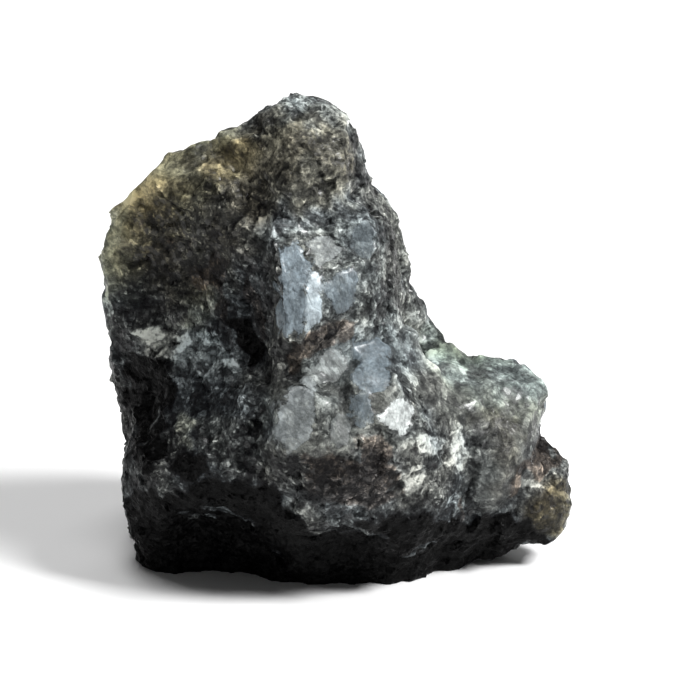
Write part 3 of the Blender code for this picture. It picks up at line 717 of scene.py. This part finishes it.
def cleavageGroup():
    # Large crystals, each with its own grain direction: fibres of colour, and small parallel steps.
    group, given, result = newGroup(
        "cleavage",
        [
            ("Place", "Vector", None),
            ("Size", "Float", 5.0),
            ("Fibre", "Float", 0.5),
            ("Terrace", "Float", 0.6),
        ],
        [("Fibres", "Float"), ("Steps", "Float")],
    )
    scale = calc(group, "DIVIDE", 1.0, given["Size"])
    cells = addNode(group, "ShaderNodeTexVoronoi", Vector=given["Place"], Scale=scale)
    parts = addNode(group, "ShaderNodeSeparateColor", Color=cells.outputs["Color"])
    axis = calcVector(group, "SUBTRACT", cells.outputs["Color"], (0.5, 0.5, 0.5))
    angle = calc(group, "MULTIPLY", parts.outputs["Green"], 2 * math.pi)
    turned = addNode(group, "ShaderNodeVectorRotate", {"rotation_type": "AXIS_ANGLE"}, Vector=given["Place"],
                     Center=cells.outputs["Position"], Axis=axis, Angle=angle).outputs[0]
    thin = calcVector(group, "MULTIPLY", turned, (0.22, 1.0, 1.0))
    finer = calc(group, "DIVIDE", 1.0, given["Fibre"])
    thin = addNode(group, "ShaderNodeVectorMath", {"operation": "SCALE"}, Vector=thin, Scale=finer).outputs[0]
    group.links.new(noiseOf(group, thin, 1.0, 4.0, 0.65), result["Fibres"])
    across = addNode(group, "ShaderNodeSeparateXYZ", Vector=turned).outputs["Y"]
    across = calc(group, "ADD", across, noiseOf(group, thin, 0.5, 2.0, 0.5))
    treads = calc(group, "FRACT", calc(group, "DIVIDE", across, given["Terrace"]))
    group.links.new(calc(group, "MULTIPLY", treads, given["Terrace"]), result["Steps"])
    return group


stoneFinish = {
    "rock": [                   # from the blackest grain to the palest
        (0.00, (0.004, 0.004, 0.005)),
        (0.25, (0.014, 0.015, 0.016)),
        (0.45, (0.045, 0.048, 0.049)),
        (0.62, (0.115, 0.122, 0.122)),
        (0.80, (0.270, 0.285, 0.280)),
        (1.00, (0.620, 0.640, 0.630)),
    ],
    "warmer": (1.00, 0.97, 0.90),   # the rock's hue drifts between these two
    "cooler": (0.90, 0.96, 1.00),
    "tints": {                  # colour, share of it, and how much paler than the rock around it
        # olive stain, paler in part as a painted glow of light through the thin upper edge
        "oliveAndGlow": ((0.50, 0.46, 0.33), 0.85, 0.17),
        # painted glow of light through the thin upper edge
        "glowingRim": ((0.57, 0.57, 0.51), 0.62, 0.19),
        "brown": ((0.48, 0.41, 0.31), 0.85, 0.05),
        "chalk": ((0.64, 0.65, 0.65), 0.30, 0.10),
        "crumb": ((0.64, 0.65, 0.65), 0.50, 0.34),
        "rust": ((0.40, 0.29, 0.24), 0.70, -0.07),
        "ochre": ((0.60, 0.57, 0.45), 0.70, 0.44),
        "earthy": ((0.57, 0.52, 0.45), 0.55, 0.03),
        "moss": ((0.54, 0.58, 0.52), 0.60, 0.16),
        "green": ((0.52, 0.58, 0.47), 0.60, 0.06),
        "amber": ((0.55, 0.42, 0.22), 0.80, -0.02),
        "pale": ((0.97, 1.00, 0.98), 0.50, 0.15),
        # painted shade in undercuts and hollows, besides black mineral
        "blackAndShade": ((0.42, 0.42, 0.50), 0.60, -0.45),
        # partly darker ground, partly painted shade where the stone faces away from the light
        "dimAndShaded": ((0.60, 0.62, 0.64), 0.30, -0.14),
    },
    "raggedBorders": ["blackAndShade", "dimAndShaded", "rust", "chalk", "crumb", "pale"],
    "raggedEdge": (0.22, 0.78),     # the closer together, the sharper the border
    "raggedPlates": 1.5,            # how ragged the plates' borders are
    "plateEdge": (0.38, 0.66),
    "blackAndShadeDepth": 0.96,
    "base": 0.44,               # middling paleness
    "mottle": 1.15,             # how much it varies from place to place
    "calmMottle": 0.7,          # share of that on calm ground
    "fibre": 0.75,              # contrast of the cleavage fibres
    "block": 0.04,              # difference between blocks and between facets; they run from -1 to 1
    "facet": 0.05,
    "clean": {"oliveAndGlow": 0.60, "glowingRim": 0.70, "amber": 0.5, "moss": 0.6, "calm": 0.60, "brown": 0.25},
    "crystals": {
        "coarse": {"Size": 1.10, "Lean": 0.9, "Step": 0.14},
        "middle": {"Size": 0.62, "Lean": 1.0, "Step": 0.10},
        "fine": {"Size": 0.34, "Lean": 1.2, "Step": 0.06},
    },
    "contrast": {"coarse": 0.10, "middle": 0.18, "fine": 0.24},     # between one crystal and the next
    "cleavage": {"Size": 4.6, "Fibre": 0.55, "Terrace": 0.55},
    "noises": {                 # scale, detail and roughness
        "ragged": (1.5, 4.0, 0.7),
        "sand": (4.0, 3.0, 0.7),
        "mottle": (0.32, 7.0, 0.7),
        "hueDrift": (0.12, 2.0, 0.5),
    },
    "sand": 0.40,               # contrast of the finest grain
    "fineWearAndCreaseShade": 0.9,            # worn edges paler, and painted shade darkening the cracks
    # broad swells paler, and painted shade darkening broad hollows
    "broadWearAndHollowShade": 0.20,
    # Crystals that stand out: where they set in and are full, on a scale from 0 to 1, and how much paler.
    "flecks": (0.10, 0.06, 0.14),   # whitened crumbs
    "chalkFlecks": 0.18,            # more of them in chalky ground
    # painted shade: darker spots standing for small pits
    "pits": (0.84, 0.90, -0.12),
    "glints": (0.84, 0.88, 0.08),   # small crystals made paler, partly pale crystals and partly painted glints
    "dimGlints": 0.10,              # painted glints paler still in dim, shaded ground, where short pale fibres show too
    "hairs": (0.58, 0.68, 0.20),
    "gloss": (0.40, 0.28, -0.12),   # roughness: range between crystals, lowest, and change on clean ground
    "coat": (0.35, 0.06, 0.32),     # clear shine: more on single crystals, everywhere, and on plates
    "bump": {"steps": 0.35, "coarse": 0.30, "middle": 0.40, "fine": 0.50, "sand": 0.06, "twins": 0.10},
    "cleanBump": -0.80,         # what clean ground and plates lose of it
    "plateBump": -0.75,
}

plateFinish = {
    "white": (0.97, 1.00, 0.95, 1),
    "blue": (0.71, 0.88, 1.00, 1),
    "streakStretch": (1.3, 1.3, 0.28),
    "twinStretch": (3.2, 3.2, 0.12),
    "parts": {                  # how much each part varies a plate's tone, and the least it leaves
        "streaks": (1.9, 0.02),
        "twins": (1.3, 0.35),
        "mottle": (1.8, 0.10),
        "cracks": (0.25, 0.75),
        "grain": (0.30, 0.85),
    },
    "seam": 2.8,                # a dark line round the plates, here and there
}


def rockParts(tree):
    # what the stages of the material share: place in mm, mottling, crystals of each size
    place = addNode(tree, "ShaderNodeTexCoord").outputs["Object"]
    place = addNode(tree, "ShaderNodeMapping", Vector=place, Scale=(1 / mm, 1 / mm, 1 / mm)).outputs[0]
    ripple = addNode(tree, "ShaderNodeTexNoise", Vector=place, Scale=0.45, Detail=3.0).outputs["Color"]
    ripple = calcVector(tree, "SUBTRACT", ripple, (0.5, 0.5, 0.5))
    warped = calcVector(tree, "MULTIPLY_ADD", ripple, (2.2, 2.2, 2.2), place)
    cleavage = useGroup(tree, cleavageGroup(), Place=warped, **stoneFinish["cleavage"])
    rock = {"place": place, "warped": warped, "cleavage": cleavage}
    for name, settings in stoneFinish["noises"].items():
        where = warped if name == "mottle" else place
        rock[name] = noiseOf(tree, where, *settings)
    crystals = crystalGroup()
    for name, settings in stoneFinish["crystals"].items():
        where = warped if name == "coarse" else place
        rock[name] = useGroup(tree, crystals, Place=where, **settings)
    return rock


def readMasks(tree, rock):
    names = [*grounds, *stains, "plate", *plateLook, *stoneShape["breaks"], *stoneShape["ridges"]]
    masks = {}
    for name in names:
        masks[name] = addNode(tree, "ShaderNodeAttribute", {"attribute_name": name}).outputs["Fac"]
    for name in stoneFinish["raggedBorders"]:
        mask = spreadOf(tree, rock["ragged"], 1.0, masks[name])
        masks[name] = step(tree, *stoneFinish["raggedEdge"], mask)
    plate = spreadOf(tree, rock["ragged"], stoneFinish["raggedPlates"], masks["plate"])
    masks["plate"] = step(tree, *stoneFinish["plateEdge"], plate)
    masks["clean"] = 0.0                        # ground that is cleaner and smoother than crushed grain
    for name, share in stoneFinish["clean"].items():
        masks["clean"] = calc(tree, "MAXIMUM", masks["clean"], calc(tree, "MULTIPLY", masks[name], share))
    return masks


def palenessOf(tree, rock, masks):
    # from 0 for the blackest grain to 1 for the palest
    grain = 0.0
    for name, contrast in stoneFinish["contrast"].items():
        grain = spreadOf(tree, rock[name]["Grain"], contrast, grain)
    grain = spreadOf(tree, rock["sand"], stoneFinish["sand"], grain)
    mottle = stoneFinish["mottle"]
    unrest = calc(tree, "MULTIPLY_ADD", masks["calm"], (stoneFinish["calmMottle"] - 1) * mottle, mottle)
    pale = spreadOf(tree, rock["mottle"], unrest, stoneFinish["base"])
    pale = spreadOf(tree, rock["cleavage"]["Fibres"], stoneFinish["fibre"], pale)
    pale = spreadOf(tree, masks["block"], stoneFinish["block"], pale)
    pale = spreadOf(tree, masks["facet"], stoneFinish["facet"], pale)
    pale = calc(tree, "MULTIPLY_ADD", grain, calc(tree, "SUBTRACT", 1.0, masks["clean"]), pale)
    # worn edges paler, and painted shade darkening cracks and hollows
    pale = calc(tree, "MULTIPLY_ADD", masks["fineRidge"], stoneFinish["fineWearAndCreaseShade"], pale)
    pale = calc(tree, "MULTIPLY_ADD", masks["broadRidge"], stoneFinish["broadWearAndHollowShade"], pale)
    for name, (*_, lift) in stoneFinish["tints"].items():
        pale = calc(tree, "MULTIPLY_ADD", masks[name], lift, pale)
    return pale


def withFlecks(tree, rock, masks, pale):
    crumbs = calc(tree, "MULTIPLY_ADD", masks["chalk"], -stoneFinish["chalkFlecks"], rock["coarse"]["Other"])
    start, full, lift = stoneFinish["flecks"]
    flecks = calc(tree, "SUBTRACT", 1.0, step(tree, full, start, crumbs))
    pale = calc(tree, "MULTIPLY_ADD", flecks, lift, pale)
    # painted shade of small pits
    start, full, lift = stoneFinish["pits"]
    pale = calc(tree, "MULTIPLY_ADD", step(tree, start, full, rock["coarse"]["Other"]), lift, pale)
    # painted glints: small crystals made paler
    start, full, lift = stoneFinish["glints"]
    lift = calc(tree, "MULTIPLY_ADD", masks["dimAndShaded"], stoneFinish["dimGlints"], lift)
    pale = calc(tree, "MULTIPLY_ADD", step(tree, start, full, rock["fine"]["Other"]), lift, pale)
    start, full, lift = stoneFinish["hairs"]
    hairs = calc(tree, "MULTIPLY", step(tree, start, full, rock["cleavage"]["Fibres"]), masks["dimAndShaded"])
    return calc(tree, "MULTIPLY_ADD", hairs, lift, pale)


def rockColour(tree, rock, masks, pale):
    colour = ramp(tree, pale, stoneFinish["rock"])
    coolness = step(tree, 0.35, 0.65, rock["hueDrift"])
    drift = blend(tree, coolness, (*stoneFinish["warmer"], 1), (*stoneFinish["cooler"], 1))
    colour = blend(tree, 1.0, colour, drift, "MULTIPLY")
    for name, (tint, share, _) in stoneFinish["tints"].items():
        hue = tuple(part / max(tint) for part in tint)
        colour = blend(tree, calc(tree, "MULTIPLY", masks[name], share), colour, (*hue, 1), "MULTIPLY")
    # drawn towards black: black mineral, and painted shade in undercuts and hollows
    blackAndShade = calc(tree, "MULTIPLY", masks["blackAndShade"], stoneFinish["blackAndShadeDepth"])
    return blend(tree, blackAndShade, colour, (0, 0, 0, 1))


def leaning(tree, vector, masks, stretch):
    # stretched upwards, and leaned over as far as the plate's streaks
    angle = calc(tree, "RADIANS", masks["plateLean"])
    turned = addNode(tree, "ShaderNodeVectorRotate", {"rotation_type": "Y_AXIS"}, Vector=vector, Angle=angle)
    return calcVector(tree, "MULTIPLY", turned.outputs[0], stretch)


def withPlates(tree, rock, masks, colour, twins):
    # the plates' tone, partly their own and partly a painted pale blue sheen, streaked upwards, with a few
    # dark cracks
    upright = leaning(tree, rock["warped"], masks, plateFinish["streakStretch"])
    cracks = addNode(tree, "ShaderNodeTexVoronoi", {"feature": "DISTANCE_TO_EDGE"}, Vector=upright, Scale=0.5)
    parts = {
        "streaks": noiseOf(tree, upright, 1.2, 4.0, 0.6),
        "twins": twins,
        "mottle": rock["mottle"],
        "cracks": step(tree, 0.0, 0.08, cracks.outputs["Distance"]),
        "grain": rock["fine"]["Grain"],
    }
    tone = masks["plateSheenTone"]
    for name, (amount, least) in plateFinish["parts"].items():
        tone = calc(tree, "MULTIPLY", tone, calc(tree, "MULTIPLY_ADD", parts[name], amount, least))
    grey = addNode(tree, "ShaderNodeCombineColor", Red=tone, Green=tone, Blue=tone).outputs[0]
    # painted sheen of the smooth cleavage faces, white to blue
    paintedSheen = blend(tree, masks["plateBlue"], plateFinish["white"], plateFinish["blue"])
    paintedSheen = blend(tree, 1.0, paintedSheen, grey, "MULTIPLY")
    colour = blend(tree, calc(tree, "MULTIPLY", masks["plate"], masks["plateClear"]), colour, paintedSheen)
    seam = calc(tree, "MULTIPLY", masks["plate"], calc(tree, "SUBTRACT", 1.0, masks["plate"]))
    seam = calc(tree, "MULTIPLY", seam, step(tree, 0.40, 0.60, rock["sand"]))
    return blend(tree, calc(tree, "MULTIPLY", seam, plateFinish["seam"]), colour, (0, 0, 0, 1))


def glossOf(tree, rock, masks):
    between, lowest, change = stoneFinish["gloss"]
    gloss = calc(tree, "MULTIPLY_ADD", rock["middle"]["Other"], between, lowest)
    return calc(tree, "MULTIPLY_ADD", calc(tree, "MAXIMUM", masks["plate"], masks["clean"]), change, gloss)


def coatOf(tree, rock, masks):
    single, everywhere, onPlates = stoneFinish["coat"]
    shiny = step(tree, 0.80, 0.86, rock["middle"]["Grain"])
    shine = calc(tree, "MULTIPLY_ADD", shiny, single, everywhere)
    shine = calc(tree, "MAXIMUM", shine, calc(tree, "MULTIPLY", masks["plate"], onPlates))
    # no clear shine on black mineral and painted shade
    return calc(tree, "MULTIPLY", shine, calc(tree, "SUBTRACT", 1.0, masks["blackAndShade"]))


def reliefOf(tree, rock, masks, twins):
    bumps = stoneFinish["bump"]
    broken = step(tree, 0.42, 0.62, noiseOf(tree, rock["place"], 0.8, 2.0, 0.5))
    height = calc(tree, "MULTIPLY", rock["cleavage"]["Steps"], broken)
    height = calc(tree, "MULTIPLY", height, bumps["steps"])
    for name in stoneFinish["crystals"]:
        height = calc(tree, "MULTIPLY_ADD", rock[name]["Height"], bumps[name], height)
    height = calc(tree, "MULTIPLY_ADD", rock["sand"], bumps["sand"], height)
    for name, loss in (("clean", stoneFinish["cleanBump"]), ("plate", stoneFinish["plateBump"])):
        height = calc(tree, "MULTIPLY", height, calc(tree, "MULTIPLY_ADD", masks[name], loss, 1.0))
    height = calc(tree, "MULTIPLY_ADD", twins, bumps["twins"], height)
    return addNode(tree, "ShaderNodeBump", Height=height, Distance=mm, Strength=1.0).outputs[0]


def labradorite():
    made = bpy.data.materials.new("labradorite")
    made.use_nodes = True
    tree = made.node_tree
    surface = tree.nodes["Principled BSDF"]
    rock = rockParts(tree)
    masks = readMasks(tree, rock)
    pale = withFlecks(tree, rock, masks, palenessOf(tree, rock, masks))
    twins = noiseOf(tree, leaning(tree, rock["place"], masks, plateFinish["twinStretch"]), 1.0, 3.0, 0.6)
    colour = withPlates(tree, rock, masks, rockColour(tree, rock, masks, pale), twins)
    tree.links.new(colour, surface.inputs["Base Color"])
    tree.links.new(glossOf(tree, rock, masks), surface.inputs["Roughness"])
    surface.inputs["IOR"].default_value = 1.56
    surface.inputs["Specular IOR Level"].default_value = 0.08
    tree.links.new(coatOf(tree, rock, masks), surface.inputs["Coat Weight"])
    surface.inputs["Coat Roughness"].default_value = 0.25
    tree.links.new(reliefOf(tree, rock, masks, twins), surface.inputs["Normal"])
    return made


studio = {
    "floorRadius": 1.6,
    "floorColour": (0.90, 0.90, 0.90, 1),
    "lamps": [                  # where each lamp stands in m, its side in m and its power in W
        ((0.66, -0.26, 0.72), 0.25, 15.5),
        ((-0.10, -0.10, 1.05), 0.40, 5.0),
        ((0.10, 0.80, 0.60), 0.60, 2.0),
    ],
    "aim": (0.0, 0.0, 0.0259),
    "sky": 0.10,
}
camera = {
    "elevation": 20.0,
    "distance": 0.55,           # in m
    "frameSide": 0.07495,       # side of what it sees at that distance, in m
    "sensor": 36.0,
}


def makeFloor():
    deselectAll()
    bpy.ops.mesh.primitive_circle_add(vertices=96, radius=studio["floorRadius"], fill_type="NGON")
    floor = bpy.context.active_object
    floor.name = "floor"
    paper = bpy.data.materials.new("whitePaper")
    paper.use_nodes = True
    surface = paper.node_tree.nodes["Principled BSDF"]
    surface.inputs["Base Color"].default_value = studio["floorColour"]
    surface.inputs["Roughness"].default_value = 0.9
    floor.data.materials.append(paper)


def lookAt(thing, target):
    away = thing.location - Vector(target)
    thing.rotation_euler = away.to_track_quat("Z", "Y").to_euler()


def makeLights():
    for place, side, power in studio["lamps"]:
        deselectAll()
        bpy.ops.object.light_add(type="AREA", location=place)
        lamp = bpy.context.active_object
        lamp.data.size = side
        lamp.data.energy = power
        lookAt(lamp, studio["aim"])
    world = bpy.data.worlds.new("studio")
    bpy.context.scene.world = world
    world.use_nodes = True
    sky = world.node_tree.nodes["Background"]
    sky.inputs["Color"].default_value = (1, 1, 1, 1)
    sky.inputs["Strength"].default_value = studio["sky"]
    bpy.context.scene.view_settings.view_transform = "Standard"


def makeCamera():
    tilt = math.radians(camera["elevation"])
    back = Vector((0, -math.cos(tilt), math.sin(tilt)))
    deselectAll()
    bpy.ops.object.camera_add(location=Vector(studio["aim"]) + back * camera["distance"])
    shot = bpy.context.active_object
    lookAt(shot, studio["aim"])
    shot.data.sensor_width = camera["sensor"]
    shot.data.lens = camera["sensor"] * camera["distance"] / camera["frameSide"]
    shot.data.clip_start = 0.01
    shot.data.clip_end = 10
    bpy.context.scene.camera = shot


stone = makeStone()
makeActive(stone)
bpy.ops.object.shade_smooth_by_angle(angle=math.radians(32))
stone.data.materials.clear()
stone.data.materials.append(labradorite())
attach(stone, "root")
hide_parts("labradorite_chunk")
print("stone done")

makeFloor()
makeLights()
makeCamera()
print("studio done")
